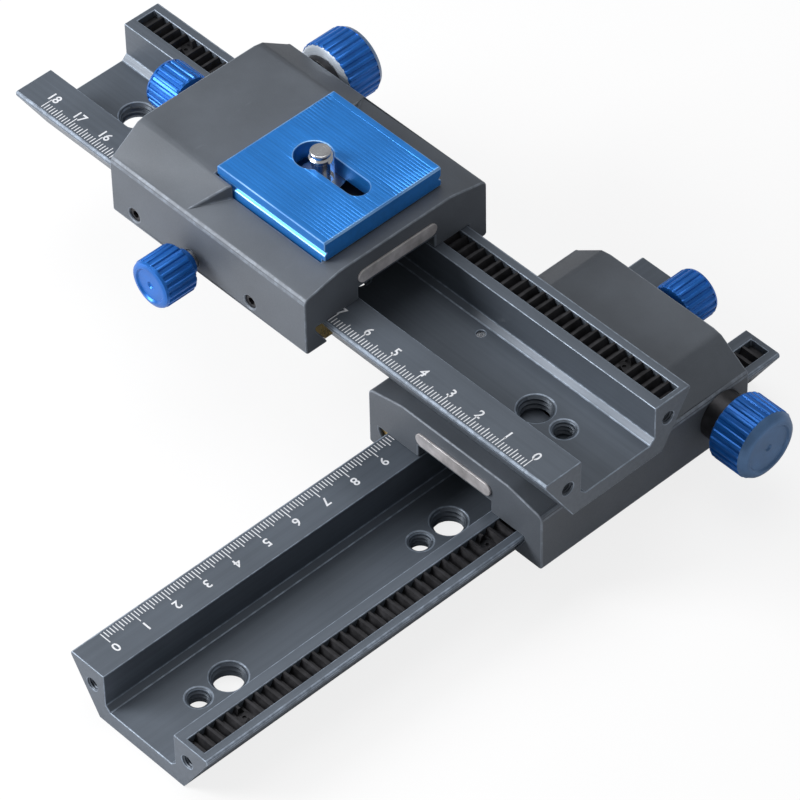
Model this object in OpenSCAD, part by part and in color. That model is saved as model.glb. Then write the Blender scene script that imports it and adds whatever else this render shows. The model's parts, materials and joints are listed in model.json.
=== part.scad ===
// Macro focusing rail: two dovetail stages stacked crosswise, each driven by a rack and pinion.
// Sizes in millimetres. The origin is the middle tripod thread of the lower rail, at its bottom face.
// The lower stage runs along Y and the upper stage along X; Z points up.
// Each stage is drawn with its rail's top plane at z = 0, the rail's near end at y = 0 and the rack on +x.

/* [Rail] */
// Width across the two top flanges
rail_w = 50; // [48:0.5:54]
// Length of each rail
rail_l = 198; // [186:2:230]
// Height of the extrusion
rail_h = 17; // [16:0.5:19]
// Width of the open channel between the flanges
channel_w = 25.6; // [23:0.2:26]
// Depth of the channel below the top plane
channel_d = 12; // [10:0.5:12]
// How far each dovetail side slopes in from top to bottom
dovetail_in = 9.5; // [8:0.5:10]
// Height of the upright edge above the dovetail slope
edge_lip = 1.2; // [1:0.1:1.6]
// Size of the bevel at the foot of the channel walls
channel_bevel = 1.6; // [1:0.2:2]

/* [Holes in the rail] */
// Wall radius of the large tripod threads
big_hole_r = 3.97; // [3.9:0.01:4.05]
// Wall radius of the small tripod threads
small_hole_r = 2.55; // [2.5:0.01:2.65]
// Distance of the first small hole and of the last large hole from the rail's ends
end_hole_y = 19; // [17:1:22]
// Distance between the two holes of a pair
pair_gap = 10; // [9.5:0.5:12]
// Distance of the end screw holes from the centreline
end_screw_x = 17.4; // [17:0.1:18.8]
// Depth of the end screw holes' centres below the top plane
end_screw_z = 6.3; // [6:0.1:6.8]
// Wall radius of the end screw holes
end_screw_r = 1.65; // [1.25:0.05:1.65]
// Depth of the end screw holes along the rail
end_screw_depth = 12; // [8:1:14]

/* [Rack and pinion] */
// Gear module
tooth_module = 1; // [0.9:0.05:1]
// Number of pinion teeth
pinion_teeth = 10; // [9:1:10]
// Width of the rack strip
rack_w = 6; // [5:0.5:6]
// Depth of the groove that holds the rack
rack_groove_d = 3.4; // [3.2:0.1:3.6]
// Distance of the groove's centre from the rail's centreline
rack_x = 19.2; // [18.6:0.1:19.4]
// Distance of the rack's tooth tips below the rail's top plane
rack_sink = 0.3; // [0.2:0.1:0.4]
// Width of the pinion
pinion_w = 5; // [4:0.5:5]
// Radius of the drive shaft
shaft_r = 2; // [1.8:0.1:2.1]

/* [Carriage] */
// Length of each carriage
carriage_l = 73.5; // [70:0.5:80]
// Width of each carriage
carriage_w = 62.8; // [61.5:0.1:66]
// Height of the carriage's flat top above the rail's top plane
carriage_top = 14; // [13.5:0.5:15]
// Height of the raised block above the carriage's flat top
block_rise = 4; // [3.5:0.5:5]
// How far the block's ends reach forward beside the plate
ear_l = 7; // [5:0.5:9]
// How far the block's ends are cut back at the carriage's sides
ear_cut = 8; // [2:0.5:10]
// Height of the crease where the upright sides end
side_h = 11.6; // [11:0.2:12]
// How far the legs reach below the rail's top plane
leg_drop = 7.5; // [7:0.1:8]
// Height of the clear space under the carriage, above the channel
bridge_h = 4; // [3.5:0.5:4.5]
// Thickness of the adjustable gib, measured across the carriage
gib_t = 2.7; // [2.2:0.1:2.8]
// Distance of the pinion's axis from the carriage's far end
pinion_inset = 10.5; // [10:0.5:12]

/* [Position of the stages] */
// Distance from the lower rail's near end to its carriage
lower_pos = 106; // [30:1:112]
// Distance from the upper rail's near end to its carriage
upper_pos = 79; // [30:1:112]
// How far the upper rail reaches past the lower rail's centreline
cross_reach = 39.5; // [36:0.5:60]
// Distance from the lower carriage's near face to the upper rail's centreline
cross_y = 18.3; // [16:0.1:19]

/* [Plates] */
// Side length of the square plates
plate_w = 40; // [38:0.5:40]
// Distance from the carriage's near face to the plate's centre
plate_y = 24.7; // [24.7:0.1:25.2]
// Height of the camera plate's top above its rail's top plane
camera_plate_top = 20.5; // [20:0.5:22]
// Height of the mounting plate's top above its rail's top plane
mount_plate_top = 17; // [16.5:0.5:18]
// Height of the seat that both plates rest on
seat_h = 10.5; // [10.2:0.1:10.8]
// Diameter of the round end of the camera plate's keyhole
keyhole_d = 10.4; // [10:0.1:12]
// Width of the keyhole's slot
slot_w = 6.6; // [6.6:0.1:7]
// Radius of the camera screw's thread
camera_screw_r = 3.175; // [3.1:0.005:3.175]
// Length of the camera screw's full thread
camera_thread_l = 2.7; // [2:0.1:4]
// Radius of the camera screw's neck, below its thread
camera_neck_r = 2.4; // [2.2:0.1:2.8]
// How far the camera screw stands above the plate
camera_screw_up = 3.5; // [0.5:0.5:5]
// Distance of the camera screw from the middle of the keyhole's round end
camera_screw_in = 2.7; // [0:0.1:16]

/* [Knobs] */
// Diameter of the drive knobs
drive_knob_d = 20; // [18:0.5:22]
// Length of the drive knobs
drive_knob_l = 12.4; // [9:0.1:14]
// Length of the collar between the lower carriage and its drive knob
lower_collar_l = 5; // [1:0.1:6]
// Length of the collar between the upper carriage and its drive knob
upper_collar_l = 2; // [1:0.1:6]
// Diameter of the lock and clamp knobs
small_knob_d = 14; // [12:0.5:15]
// Length of the lock and clamp knobs
small_knob_l = 10.8; // [8:0.1:12]
// Number of flutes round a drive knob
drive_flutes = 28; // [20:2:32]
// Number of flutes round a lock or clamp knob
small_flutes = 20; // [14:2:22]
// Height of the clamp screw's axis above the rail's top plane
clamp_z = 8.2; // [8:0.1:8.6]
// Depth of the lock screw's axis below the rail's top plane
lock_drop = 3.5; // [3.4:0.1:3.7]
// Distance of the lock screw from the carriage's near face
lock_y = 43; // [40:1:45]
// Distance of each gib screw from the lock screw
gib_screw_gap = 22; // [18:1:23]
// Radius of the lock and clamp screws
knob_screw_r = 2.5; // [2.2:0.1:2.5]

/* [Fits] */
// Gap between sliding flat faces
slide_fit = 0.05; // [0.04:0.01:0.08]
// Radial clearance of turning shafts and screws
turn_fit = 0.05; // [0.03:0.01:0.08]
// Play between the teeth of rack and pinion
backlash = 0.2; // [0.15:0.05:0.3]

/* [Hidden] */
$fn = 48;
eps = 0.5;
axle_gap = 0.3;
flute_r = 0.75;
flute_out = 0.35;
knob_foot = 0.8;
knob_dish = 0.3;
knob_rim = 0.6;
knob_cap = 2;

// rail
half_w = rail_w / 2;
slope = dovetail_in / (rail_h - edge_lip);
half_ch = channel_w / 2;
big_hole_y = [end_hole_y + pair_gap, rail_l / 2 + pair_gap / 2, rail_l - end_hole_y];
origin_y = big_hole_y[1];
hole_bevel = 0.8;
edge_break = 0.4;

// rack and pinion
pressure = 25;
pitch = PI * tooth_module;
addendum = 0.8 * tooth_module;
dedendum = tooth_module;
pinion_r = pinion_teeth * tooth_module / 2;
pinion_z = pinion_r - addendum - rack_sink;
pinion_tip = pinion_r + addendum;
pocket_r = pinion_tip + 0.5;
rack_end = 1.6;
rack_root = rack_sink + addendum + dedendum;
rack_screw_y = [5.5 * pitch, rail_l / 2, rail_l - 5.5 * pitch];
rack_screw_r = 1;
rack_head_r = 1.8;
rack_head_h = 0.9;
rack_screw_l = 6;
rack_socket_r = 0.6;
rack_fit = 0.02;
rack_play = 0.1;
screw_tip_gap = 0.2;
screw_fit = 0.05;

// carriage
half_c = carriage_w / 2;
plate_gap = 0.3;
block_y = plate_y + plate_w / 2 + plate_gap;
ear_y = block_y - ear_l;
flat_x = 19;
crease = 0.5;
leg_bevel = 0.6;
pinion_y = carriage_l - pinion_inset;
gib_play = 0.1;
gib_short = 0.3;
gib_inset = 1;
gib_gap = slide_fit + gib_t + gib_play;
web_x = half_ch + 0.4;
bush_r = 3.6;
collar_r = 7;
grub_r = 1.5;
grub_l = 4;
grub_socket_r = 0.85;
grub_socket_d = 1.5;
gib_screw_r = 2;
gib_screw_inset = 0.6;
gib_socket_r = 1.15;
gib_socket_d = 1.8;
gib_seat_x = half_w + 1;

// plates and clamp
base_h = 2.2;
neck_z = seat_h + base_h;
slab_z = carriage_top + plate_gap;
slab_half = plate_w / 2;
neck_in = 1.2;
neck_half = slab_half - neck_in;
base_half = neck_half + base_h;
jaw_y = plate_y + neck_half;
jaw_half = 14;
jaw_l = 13.4;
jaw_lip = 4.5;
jaw_foot = 2.8;
jaw_gap = 0.05;
jaw_end = jaw_y + jaw_l;
jaw_travel = 2.2;
jaw_rear_y = jaw_y + jaw_lip;
jaw_floor = clamp_z - jaw_foot;
jaw_top = carriage_top;
jaw_room = jaw_end + jaw_travel + plate_gap;
bolt_r = 2;
bolt_head_r = 3.5;
bolt_head_h = 4;
bolt_fit = 0.2;
bolt_cover = 0.8;
bolt_l = mount_plate_top - seat_h + rail_h - channel_d - bolt_cover - screw_tip_gap;
bolt_socket_r = 1.7;
bolt_socket_d = 2.1;
bolt_sink = 0.3;
bolt_x = [-12, 0];
pin_r = 1.25;
pin_x = -18;
pin_y = 8.5;
pin_cover = 0.6;

// camera screw
key_y = 5.7;
slot_y = -10.5;
pocket_w = 13.6;
ledge_h = 4.5;
ledge_z = seat_h + ledge_h;
screw_y = plate_y + key_y - camera_screw_in;
groove_drop = 0.6;
groove_d = 0.8;
washer_r = 6.3;
washer_l = 0.95;
washer_gap = 0.05;
washer_bore_fit = 0.08;
screw_slot = 1.4;
tip_bevel = 0.6;
head_r = 5.4;
head_h = 2.6;

// names and knobs
neck_r = 3.8;
neck_l = 2.4;
knob_off = 1.2;
drive_knob_edge = 2;
small_knob_edge = 1;
lock_gap = 0.02;
lock_seat = gib_seat_x + lock_gap;
lock_pad_l = 2.5;
lock_pad_r = 2.2;
plate_label = [27, 4, 0.6];
label_z = 7.5;

// height of the upper rail's top plane above the lower one's
stack_h = mount_plate_top + rail_h;

// ---------- colours ----------

rail_grey = [0.22, 0.24, 0.27];
cast_grey = [0.30, 0.31, 0.33];
dark_steel = [0.10, 0.10, 0.11];
bright_steel = [0.72, 0.73, 0.75];
brass_tone = [0.75, 0.60, 0.30];
blue_tone = [0.10, 0.35, 0.75];
label_tone = [0.70, 0.70, 0.74];

// ---------- placing ----------

module lower() {
    translate([0, -origin_y, rail_h]) children();
}

module lower_car() {
    lower() translate([0, lower_pos, 0]) children();
}

module upper() {
    translate([cross_reach, lower_pos + cross_y - origin_y, rail_h + stack_h])
        rotate([0, 0, 90]) children();
}

module upper_car() {
    upper() translate([0, upper_pos, 0]) children();
}

module along_x(x0, x1, r) {
    translate([x0, 0, 0]) rotate([0, 90, 0]) cylinder(r = r, h = x1 - x0);
}

module along_y(y0, y1, r) {
    translate([0, y0, 0]) rotate([-90, 0, 0]) cylinder(r = r, h = y1 - y0);
}

module along_hex(x0, x1, r) {
    translate([x0, 0, 0]) rotate([0, 90, 0]) cylinder(r = r, h = x1 - x0, $fn = 6);
}

// a section drawn in x and z, run along y
module run_y(y0, y1) {
    translate([0, y1, 0]) rotate([90, 0, 0]) linear_extrude(y1 - y0) children();
}

// a section drawn in y and z, run along x
module run_x(x0, x1) {
    translate([x0, 0, 0]) rotate([90, 0, 90]) linear_extrude(x1 - x0) children();
}

module box(x0, x1, y0, y1, z0, z1) {
    translate([x0, y0, z0]) cube([x1 - x0, y1 - y0, z1 - z0]);
}

// ---------- rail ----------

// half width of the rail at a height z below its upright edge
function flank(z) = half_w - slope * max(0, -z - edge_lip);

module rail_section() {
    difference() {
        polygon([
            [-half_w + edge_break, 0], [-half_w, -edge_break], [-half_w, -edge_lip],
            [-flank(-rail_h), -rail_h], [flank(-rail_h), -rail_h],
            [half_w, -edge_lip], [half_w, -edge_break], [half_w - edge_break, 0]
        ]);
        polygon([
            [-half_ch, eps], [-half_ch, channel_bevel - channel_d],
            [-half_ch + channel_bevel, -channel_d], [half_ch - channel_bevel, -channel_d],
            [half_ch, channel_bevel - channel_d], [half_ch, eps]
        ]);
    }
}

module tripod_hole(r) {
    translate([0, 0, -rail_h - eps]) cylinder(r = r, h = rail_h);
    translate([0, 0, -channel_d - hole_bevel]) cylinder(r1 = r, r2 = r + 2 * hole_bevel, h = 2 * hole_bevel);
}

module rail() {
    color(rail_grey) difference() {
        run_y(0, rail_l) rail_section();
        box(rack_x - rack_w / 2, rack_x + rack_w / 2, rack_end, rail_l - rack_end, -rack_groove_d, eps);
        for (y = big_hole_y) {
            translate([0, y, 0]) tripod_hole(big_hole_r);
            translate([0, y - pair_gap, 0]) tripod_hole(small_hole_r);
        }
        for (side = [-1, 1]) translate([side * end_screw_x, 0, -end_screw_z]) {
            along_y(-eps, end_screw_depth, end_screw_r);
            along_y(rail_l - end_screw_depth, rail_l + eps, end_screw_r);
        }
        for (y = rack_screw_y) translate([rack_x, y, -rack_root - rack_screw_l])
            cylinder(r = rack_screw_r, h = rack_screw_l);
    }
}

// straight teeth with their gaps centred on whole pitches from the rack's start
function tooth_half(h) = (pitch - backlash) / 4 - h * tan(pressure);
tooth_count = floor((rail_l - 2 * (rack_end + 2 * rack_play)) / pitch);
rack_start = rack_end + rack_play;
rack_stop = rail_l - rack_start;
rack_tail = (rack_stop - rack_start - tooth_count * pitch) / 2;
mesh_y = rack_start + rack_tail;

module rack_section() {
    z1 = -rack_sink;
    z0 = -rack_root;
    polygon(concat(
        [[rack_start, -rack_groove_d], [rack_start, z0]],
        [for (i = [0 : tooth_count - 1], p = [
            [-tooth_half(-dedendum), z0], [-tooth_half(addendum), z1],
            [tooth_half(addendum), z1], [tooth_half(-dedendum), z0]
        ]) [mesh_y + (i + 0.5) * pitch + p[0], p[1]]],
        [[rack_stop, z0], [rack_stop, -rack_groove_d]]
    ));
}

module rack() {
    side = rack_w / 2 - rack_fit;
    color(dark_steel) difference() {
        run_x(rack_x - side, rack_x + side) rack_section();
        for (y = rack_screw_y) translate([rack_x, y, 0]) {
            translate([0, 0, -rack_root - rack_head_h])
                cylinder(r = rack_head_r, h = rack_root + rack_head_h);
            translate([0, 0, -rack_groove_d - eps]) cylinder(r = rack_screw_r, h = rack_groove_d);
        }
    }
}

module rack_screws() {
    color(dark_steel) for (y = rack_screw_y) translate([rack_x, y, -rack_root - rack_head_h]) difference() {
        union() {
            cylinder(r = rack_head_r - screw_fit, h = rack_head_h);
            translate([0, 0, rack_head_h - rack_screw_l + screw_tip_gap])
                cylinder(r = rack_screw_r, h = rack_screw_l - rack_head_h);
        }
        translate([0, 0, rack_head_h / 2]) cylinder(r = rack_socket_r, h = rack_head_h, $fn = 6);
    }
}

// ---------- carriage ----------

function shoulder(top) = [
    [half_c, side_h - 3 * crease], [half_c - crease, side_h - crease], [half_c - 3 * crease, side_h],
    [flat_x + 5 * crease, top - crease], [flat_x, top]
];

module carriage_section(top) {
    right = shoulder(top);
    polygon(concat(
        [[-half_c + leg_bevel, -leg_drop], [half_c - leg_bevel, -leg_drop]],
        [[half_c, leg_bevel - leg_drop]],
        right,
        [for (i = [len(right) - 1 : -1 : 0]) [-right[i][0], right[i][1]]],
        [[-half_c, leg_bevel - leg_drop]]
    ));
}

// the space that the rail and the gib take up
module rail_space() {
    low = -leg_drop - eps;
    polygon([
        [flank(low) + slide_fit, low], [half_w + slide_fit, -edge_lip],
        [half_w + slide_fit, slide_fit], [-half_w - gib_gap, slide_fit],
        [-half_w - gib_gap, -edge_lip], [-flank(low) - gib_gap, low]
    ]);
}

// the plates' seat, undercut at the near lip and under the block
module seat_section() {
    far = plate_y + base_half + plate_gap;
    polygon([
        [plate_y - base_half, seat_h], [plate_y - neck_half, neck_z],
        [plate_y - neck_half, carriage_top + block_rise + eps], [block_y, carriage_top + block_rise + eps],
        [block_y, neck_z + plate_gap], [far, neck_z + plate_gap], [far, seat_h]
    ]);
}

// the raised block, its ends cut back towards the carriage's sides
module block() {
    top = carriage_top + block_rise;
    difference() {
        run_y(ear_y, carriage_l) carriage_section(top);
        for (s = [-1, 1]) translate([0, 0, -top]) linear_extrude(3 * top) polygon([
            [s * flat_x, ear_y - eps], [s * (half_c + eps), ear_y - eps], [s * (half_c + eps), ear_y + ear_cut]
        ]);
    }
}

module carriage() {
    color(cast_grey) difference() {
        union() {
            run_y(0, carriage_l) carriage_section(carriage_top);
            block();
        }
        run_y(-eps, carriage_l + eps) rail_space();
        box(-web_x, web_x, -eps, carriage_l + eps, 0, bridge_h);
        run_x(-slab_half - plate_gap, slab_half + plate_gap) seat_section();
        // jaw room and its screw
        side = jaw_half + slide_fit;
        box(-side, side, block_y - eps, jaw_room, seat_h, jaw_top + slide_fit);
        box(-side, side, jaw_rear_y - eps, jaw_room, jaw_floor - slide_fit, seat_h + eps);
        translate([0, 0, clamp_z]) along_y(jaw_room - eps, carriage_l + eps, knob_screw_r + turn_fit);
        // pinion room, its shaft and the bush
        translate([0, pinion_y, pinion_z]) {
            along_x(rack_x - rack_w / 2, rack_x + rack_w / 2, pocket_r);
            along_x(web_x - eps, rack_x, shaft_r + turn_fit);
            along_x(rack_x, half_c + eps, bush_r);
        }
        box(rack_x - rack_w / 2, rack_x + rack_w / 2, pinion_y - pocket_r, pinion_y + pocket_r, 0, pinion_z);
        // lock screw and gib screws
        translate([0, lock_y, -lock_drop]) {
            along_x(-half_c - eps, -flank(-lock_drop), knob_screw_r + turn_fit);
            for (s = [-1, 1]) translate([0, s * gib_screw_gap, 0])
                along_x(-half_c - eps, -flank(-lock_drop), gib_screw_r);
        }
    }
}

module gib() {
    low = gib_short - leg_drop;
    high = -edge_lip;
    near = slide_fit;
    far = slide_fit + gib_t;
    color(brass_tone) difference() {
        run_y(gib_inset, carriage_l - gib_inset) polygon([
            [-flank(low) - near, low], [-flank(high) - near, high],
            [-flank(high) - far, high], [-flank(low) - far, low]
        ]);
        translate([0, lock_y, -lock_drop]) {
            along_x(-half_c, -gib_seat_x, knob_screw_r + turn_fit);
            for (s = [-1, 1]) translate([0, s * gib_screw_gap, 0])
                along_x(-half_c, -gib_seat_x, gib_screw_r + gib_play);
        }
    }
}

module gib_screws() {
    color(dark_steel) for (s = [-1, 1]) translate([0, lock_y + s * gib_screw_gap, -lock_drop]) difference() {
        along_x(gib_screw_inset - half_c, -gib_seat_x, gib_screw_r);
        along_hex(-half_c, gib_screw_inset + gib_socket_d - half_c, gib_socket_r);
    }
}

module nameplate() {
    half = (plate_label[0] - plate_label[1]) / 2;
    color(label_tone) translate([0, 0, label_z]) {
        for (s = [-1, 1]) translate([s * half, 0, 0]) along_y(-plate_label[2], 0, plate_label[1] / 2);
        box(-half, half, -plate_label[2], 0, -plate_label[1] / 2, plate_label[1] / 2);
    }
}

// ---------- drive ----------

module drive_bush(collar) {
    color(dark_steel) translate([0, pinion_y, pinion_z]) difference() {
        union() {
            along_x(rack_x + rack_w / 2, half_c, bush_r);
            along_x(half_c, half_c + collar, collar_r);
        }
        along_x(rack_x, half_c + collar + eps, shaft_r + turn_fit);
    }
}

function inv(a) = tan(a) - a * PI / 180;
base_r = pinion_r * cos(pressure);
root_r = pinion_r - dedendum;
half_at_base = ((pitch - backlash) / 4 / pinion_r + inv(pressure)) * 180 / PI;
function half_at(r) = half_at_base - inv(acos(base_r / r)) * 180 / PI;
flank_r = [for (i = [0 : 4]) base_r + (pinion_tip - base_r) * i / 4];

module pinion_section() {
    polygon([for (t = [0 : pinion_teeth - 1], p = concat(
        [[root_r, -half_at_base]],
        [for (r = flank_r) [r, -half_at(r)]],
        [for (i = [4 : -1 : 0]) [flank_r[i], half_at(flank_r[i])]],
        [[root_r, half_at_base]]
    )) let (a = t * 360 / pinion_teeth + p[1]) [p[0] * cos(a), p[0] * sin(a)]]);
}

// turned so that a tooth stands in the rack's gap at the given carriage position
module pinion(pos) {
    turn = -(pos + pinion_y - mesh_y) / pinion_r * 180 / PI;
    color(bright_steel) translate([rack_x - pinion_w / 2, pinion_y, pinion_z])
        rotate([turn, 0, 0]) rotate([0, 90, 0]) difference() {
            linear_extrude(pinion_w) pinion_section();
            translate([0, 0, -eps]) cylinder(r = shaft_r, h = pinion_w + 2 * eps);
        }
}

function knob_x(collar) = half_c + collar + axle_gap;

module drive_shaft(collar) {
    color(bright_steel) translate([0, pinion_y, pinion_z])
        along_x(web_x + axle_gap, knob_x(collar) + drive_knob_l - knob_cap, shaft_r);
}

// a knob standing on z = 0 with its outer face up
module knob(d, l, flutes, bore, edge) {
    r = d / 2;
    difference() {
        rotate_extrude() polygon([
            [0, 0], [r - knob_foot, 0], [r, knob_foot], [r, l - edge], [r - 0.3 * edge, l - 0.3 * edge],
            [r - edge, l], [r - edge - knob_rim, l], [r - edge - knob_rim - knob_dish, l - knob_dish],
            [0, l - knob_dish]
        ]);
        for (i = [0 : flutes - 1]) rotate([0, 0, i * 360 / flutes])
            translate([r + flute_out, 0, -eps]) cylinder(r = flute_r, h = l + 2 * eps);
        translate([0, 0, -eps]) cylinder(r = bore, h = l - knob_cap + eps);
    }
}

module drive_knob(collar) {
    color(blue_tone) translate([knob_x(collar), pinion_y, pinion_z]) difference() {
        rotate([0, 90, 0])
            knob(drive_knob_d, drive_knob_l, drive_flutes, shaft_r, drive_knob_edge);
        translate([drive_knob_l / 2, 0, 0]) cylinder(r = grub_r, h = drive_knob_d);
    }
}

module drive_grub(collar) {
    color(dark_steel) translate([knob_x(collar) + drive_knob_l / 2, pinion_y, pinion_z]) difference() {
        translate([0, 0, shaft_r]) cylinder(r = grub_r, h = grub_l);
        translate([0, 0, shaft_r + grub_l - grub_socket_d]) cylinder(r = grub_socket_r, h = grub_l, $fn = 6);
    }
}

// ---------- lock ----------

module lock_pad() {
    color(brass_tone) translate([0, lock_y, -lock_drop])
        along_x(-lock_seat - lock_pad_l, -lock_seat, lock_pad_r);
}

lock_knob_x = half_c + knob_off + neck_l;

module lock_screw() {
    color(bright_steel) translate([0, lock_y, -lock_drop])
        along_x(knob_cap - lock_knob_x - small_knob_l, -lock_seat - lock_pad_l, knob_screw_r);
}

module small_knob() {
    knob(small_knob_d, small_knob_l, small_flutes, knob_screw_r, small_knob_edge);
    translate([0, 0, -neck_l]) difference() {
        cylinder(r = neck_r, h = neck_l);
        translate([0, 0, -eps]) cylinder(r = knob_screw_r, h = neck_l + 2 * eps);
    }
}

module lock_knob() {
    color(blue_tone) translate([-lock_knob_x, lock_y, -lock_drop]) rotate([0, -90, 0]) small_knob();
}

// ---------- plates and their clamp ----------

module plate_section(top) {
    polygon([
        [-base_half, seat_h], [-neck_half, neck_z], [-neck_half, slab_z], [-slab_half, slab_z],
        [-slab_half, top - edge_break], [edge_break - slab_half, top], [slab_half - edge_break, top],
        [slab_half, top - edge_break],
        [slab_half, slab_z], [neck_half, slab_z], [neck_half, neck_z], [base_half, seat_h]
    ]);
}

module plate_blank(top) {
    translate([0, plate_y, 0]) run_x(-slab_half, slab_half) plate_section(top);
}

module mount_plate() {
    color(rail_grey) difference() {
        plate_blank(mount_plate_top);
        for (x = bolt_x) translate([x, cross_y, seat_h - eps]) {
            cylinder(r = bolt_head_r + bolt_fit, h = bolt_head_h + eps);
            cylinder(r = bolt_r, h = mount_plate_top);
        }
        translate([pin_x, cross_y + pin_y, seat_h - eps]) cylinder(r = pin_r, h = mount_plate_top);
    }
}

module rail_bolts() {
    color(dark_steel) for (x = bolt_x) translate([x, cross_y, seat_h]) difference() {
        union() {
            translate([0, 0, bolt_sink]) cylinder(r = bolt_head_r, h = bolt_head_h - bolt_sink);
            translate([0, 0, bolt_head_h - eps]) cylinder(r = bolt_r, h = bolt_l - bolt_head_h + eps);
        }
        translate([0, 0, -eps]) cylinder(r = bolt_socket_r, h = bolt_sink + bolt_socket_d + eps, $fn = 6);
    }
}

module locating_pin() {
    color(bright_steel) translate([pin_x, cross_y + pin_y, seat_h])
        cylinder(r = pin_r, h = mount_plate_top - seat_h + rail_h - channel_d - pin_cover);
}

// the upper rail also takes the bolts and the pin that come up from the mounting plate
module cross_rail() {
    color(rail_grey) difference() {
        rail();
        for (x = bolt_x) translate([0, cross_reach - x, -rail_h - eps])
            cylinder(r = bolt_r, h = rail_h - channel_d - bolt_cover + eps);
        translate([pin_y, cross_reach - pin_x, -rail_h - eps]) cylinder(r = pin_r, h = rail_h);
    }
}

module camera_plate() {
    top = camera_plate_top;
    groove_z = (slab_z + top) / 2 - groove_drop;
    color(blue_tone) difference() {
        plate_blank(top);
        for (s = [-1, 1]) run_y(plate_y - base_half - eps, plate_y + base_half + eps) polygon([
            [s * slab_half, groove_z - groove_d], [s * (slab_half - groove_d), groove_z],
            [s * slab_half, groove_z + groove_d], [s * (slab_half + eps), groove_z]
        ]);
        translate([0, plate_y, 0]) {
            translate([0, key_y, seat_h]) cylinder(d = keyhole_d, h = top);
            translate([0, slot_y, seat_h]) cylinder(d = slot_w, h = top);
            box(-slot_w / 2, slot_w / 2, slot_y, key_y, seat_h, top + eps);
            for (y = [slot_y, key_y]) translate([0, y, seat_h - eps])
                cylinder(d = pocket_w, h = ledge_z - seat_h + eps);
            box(-pocket_w / 2, pocket_w / 2, slot_y, key_y, seat_h - eps, ledge_z);
        }
    }
}

module screw_washer() {
    color(bright_steel) translate([0, screw_y, ledge_z - washer_l - washer_gap]) difference() {
        cylinder(r = washer_r, h = washer_l);
        translate([0, 0, -eps]) cylinder(r = camera_screw_r + washer_bore_fit, h = washer_l + 2 * eps);
    }
}

module camera_screw() {
    head_top = ledge_z - washer_l - 2 * washer_gap;
    tip = camera_plate_top + camera_screw_up;
    thread_top = tip - tip_bevel;
    color(bright_steel) translate([0, screw_y, 0]) difference() {
        union() {
            translate([0, 0, head_top - head_h]) cylinder(r = head_r, h = head_h);
            translate([0, 0, head_top - eps])
                cylinder(r = camera_neck_r, h = thread_top - camera_thread_l - head_top + 2 * eps);
            translate([0, 0, thread_top - camera_thread_l]) cylinder(r = camera_screw_r, h = camera_thread_l);
            translate([0, 0, thread_top])
                cylinder(r1 = camera_screw_r, r2 = camera_screw_r - tip_bevel, h = tip_bevel);
        }
        box(-screw_slot / 2, screw_slot / 2, -head_r - eps, head_r + eps,
            head_top - head_h - eps, head_top - head_h + screw_slot);
    }
}

module clamp_jaw() {
    color(dark_steel) run_x(-jaw_half, jaw_half) polygon([
        [jaw_y + base_h, seat_h + jaw_gap], [jaw_y + jaw_gap, neck_z], [jaw_y + jaw_gap, jaw_top],
        [jaw_end, jaw_top], [jaw_end, jaw_floor], [jaw_rear_y, jaw_floor], [jaw_rear_y, seat_h + jaw_gap]
    ]);
}

clamp_knob_y = carriage_l + knob_off + neck_l;

module clamp_screw() {
    color(bright_steel) translate([0, 0, clamp_z])
        along_y(jaw_end, clamp_knob_y + small_knob_l - knob_cap, knob_screw_r);
}

module clamp_knob() {
    color(blue_tone) translate([0, clamp_knob_y, clamp_z]) rotate([-90, 0, 0]) small_knob();
}

// ---------- nodes ----------

lower() rail();  // lower_rail
lower() rack();  // lower_rack
lower() rack_screws();  // lower_rack_screws
lower_car() carriage();  // lower_carriage
lower_car() gib();  // lower_gib
lower_car() gib_screws();  // lower_gib_screws
lower_car() nameplate();  // lower_nameplate
lower_car() drive_bush(lower_collar_l);  // lower_drive_bush
lower_car() drive_shaft(lower_collar_l);  // lower_drive_shaft
lower_car() pinion(lower_pos);  // lower_pinion
lower_car() drive_knob(lower_collar_l);  // lower_drive_knob
lower_car() drive_grub(lower_collar_l);  // lower_drive_grub
lower_car() lock_pad();  // lower_lock_pad
lower_car() lock_screw();  // lower_lock_screw
lower_car() lock_knob();  // lower_lock_knob
lower_car() clamp_jaw();  // lower_clamp_jaw
lower_car() clamp_screw();  // lower_clamp_screw
lower_car() clamp_knob();  // lower_clamp_knob
lower_car() mount_plate();
lower_car() rail_bolts();
lower_car() locating_pin();
upper() cross_rail();  // upper_rail
upper() rack();  // upper_rack
upper() rack_screws();  // upper_rack_screws
upper_car() carriage();  // upper_carriage
upper_car() gib();  // upper_gib
upper_car() gib_screws();  // upper_gib_screws
upper_car() nameplate();  // upper_nameplate
upper_car() drive_bush(upper_collar_l);  // upper_drive_bush
upper_car() drive_shaft(upper_collar_l);  // upper_drive_shaft
upper_car() pinion(upper_pos);  // upper_pinion
upper_car() drive_knob(upper_collar_l);  // upper_drive_knob
upper_car() drive_grub(upper_collar_l);  // upper_drive_grub
upper_car() lock_pad();  // upper_lock_pad
upper_car() lock_screw();  // upper_lock_screw
upper_car() lock_knob();  // upper_lock_knob
upper_car() clamp_jaw();  // upper_clamp_jaw
upper_car() clamp_screw();  // upper_clamp_screw
upper_car() clamp_knob();  // upper_clamp_knob
upper_car() camera_plate();
upper_car() screw_washer();
upper_car() camera_screw();
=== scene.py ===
"""Visible pieces, finishes, light and camera of a two-way macro focusing rail."""

import json
import math

import bmesh
import bpy
from mathutils import Matrix, Vector

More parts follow.
